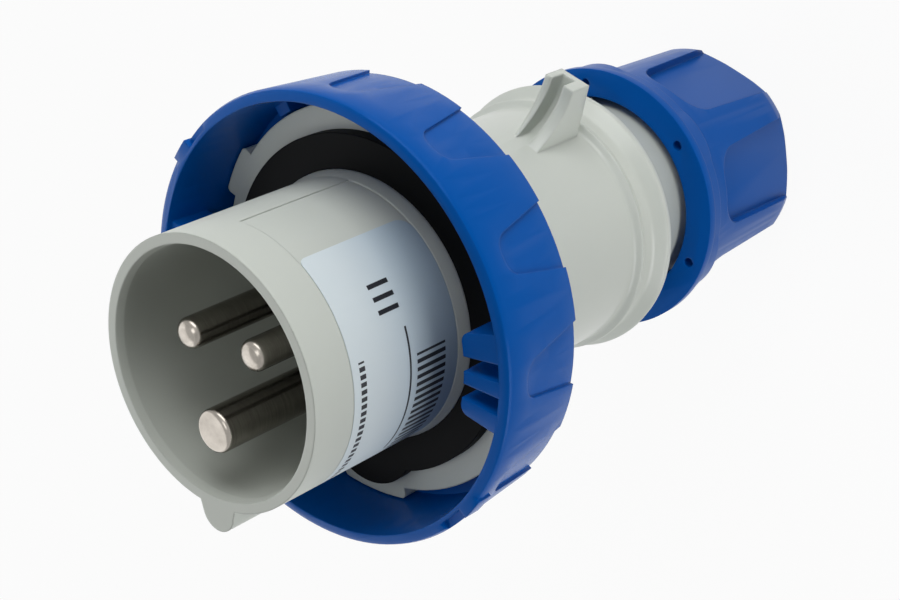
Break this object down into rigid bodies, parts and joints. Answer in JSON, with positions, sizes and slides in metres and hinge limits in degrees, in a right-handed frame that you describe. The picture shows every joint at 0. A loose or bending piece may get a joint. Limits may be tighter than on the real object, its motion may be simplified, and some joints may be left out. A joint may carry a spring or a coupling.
{
  "type": "industrial pin and sleeve plug",
  "caption": "Straight industrial pin and sleeve plug with a grey body, keyed sleeve, blue bayonet coupling ring and lobed cable gland nut.",
  "frame": {"origin": "on the plug's axis at the rear face of the gland nut, which is the lowest point", "axes": "+Z along the axis towards the open end of the sleeve, -Y towards the key rib and the earth pin, +X to the right when looking into the sleeve with the key down"},
  "size_m": [0.0744, 0.0744, 0.134],
  "materials": {
    "grey_plastic": "light grey satin moulding",
    "label": "pale blue coated label",
    "gasket_rubber": "black smooth rubber",
    "ring_plastic": "blue gloss moulding",
    "nut_plastic": "blue gloss moulding",
    "phase_pin": "nickel plated",
    "earth_pin": "nickel plated",
    "screw_steel": "zinc plated",
    "plate_steel": "zinc plated",
    "carrier_plastic": "grey moulding",
    "seal_rubber": "black rubber",
    "basket_plastic": "grey moulding",
    "washer_steel": "zinc plated"
  },
  "bodies": {
    "housing": {"front_housing": "grey_plastic", "rear_handle": "grey_plastic", "label": "label", "face_gasket": "gasket_rubber", "line_pin": "phase_pin", "neutral_pin": "phase_pin", "earth_pin": "earth_pin", "line_terminal_screw": "screw_steel", "neutral_terminal_screw": "screw_steel", "earth_terminal_screw": "screw_steel", "line_clamp_plate": "plate_steel", "neutral_clamp_plate": "plate_steel", "earth_clamp_plate": "plate_steel", "contact_carrier": "carrier_plastic", "carrier_screw_1": "screw_steel", "carrier_screw_2": "screw_steel", "body_seal": "seal_rubber", "gland_grommet": "seal_rubber", "clamp_basket": "basket_plastic"},
    "ring": {"coupling_ring": "ring_plastic"},
    "gland_slider": {"gland_washer": "washer_steel"},
    "nut": {"gland_nut": "nut_plastic"}
  },
  "joints": [
    {"name": "ring_turn", "type": "hinge", "parent": "housing", "child": "ring", "pos_m": [0, 0, 0.101], "axis": [0, 0, 1], "range_deg": [-40, 11.8]},
    {"name": "gland_slide", "type": "slide", "parent": "housing", "child": "gland_slider", "axis": [0, 0, 1], "range_m": [-0.00375, 0]},
    {"name": "nut_turn", "type": "hinge", "parent": "gland_slider", "child": "nut", "pos_m": [0, 0, 0.018], "axis": [0, 0, 1], "range_deg": [-540, 0]}
  ],
  "couplings": [
    {"joint": "nut_turn", "follows": "gland_slide", "rad_per_m": 2513.3}
  ]
}
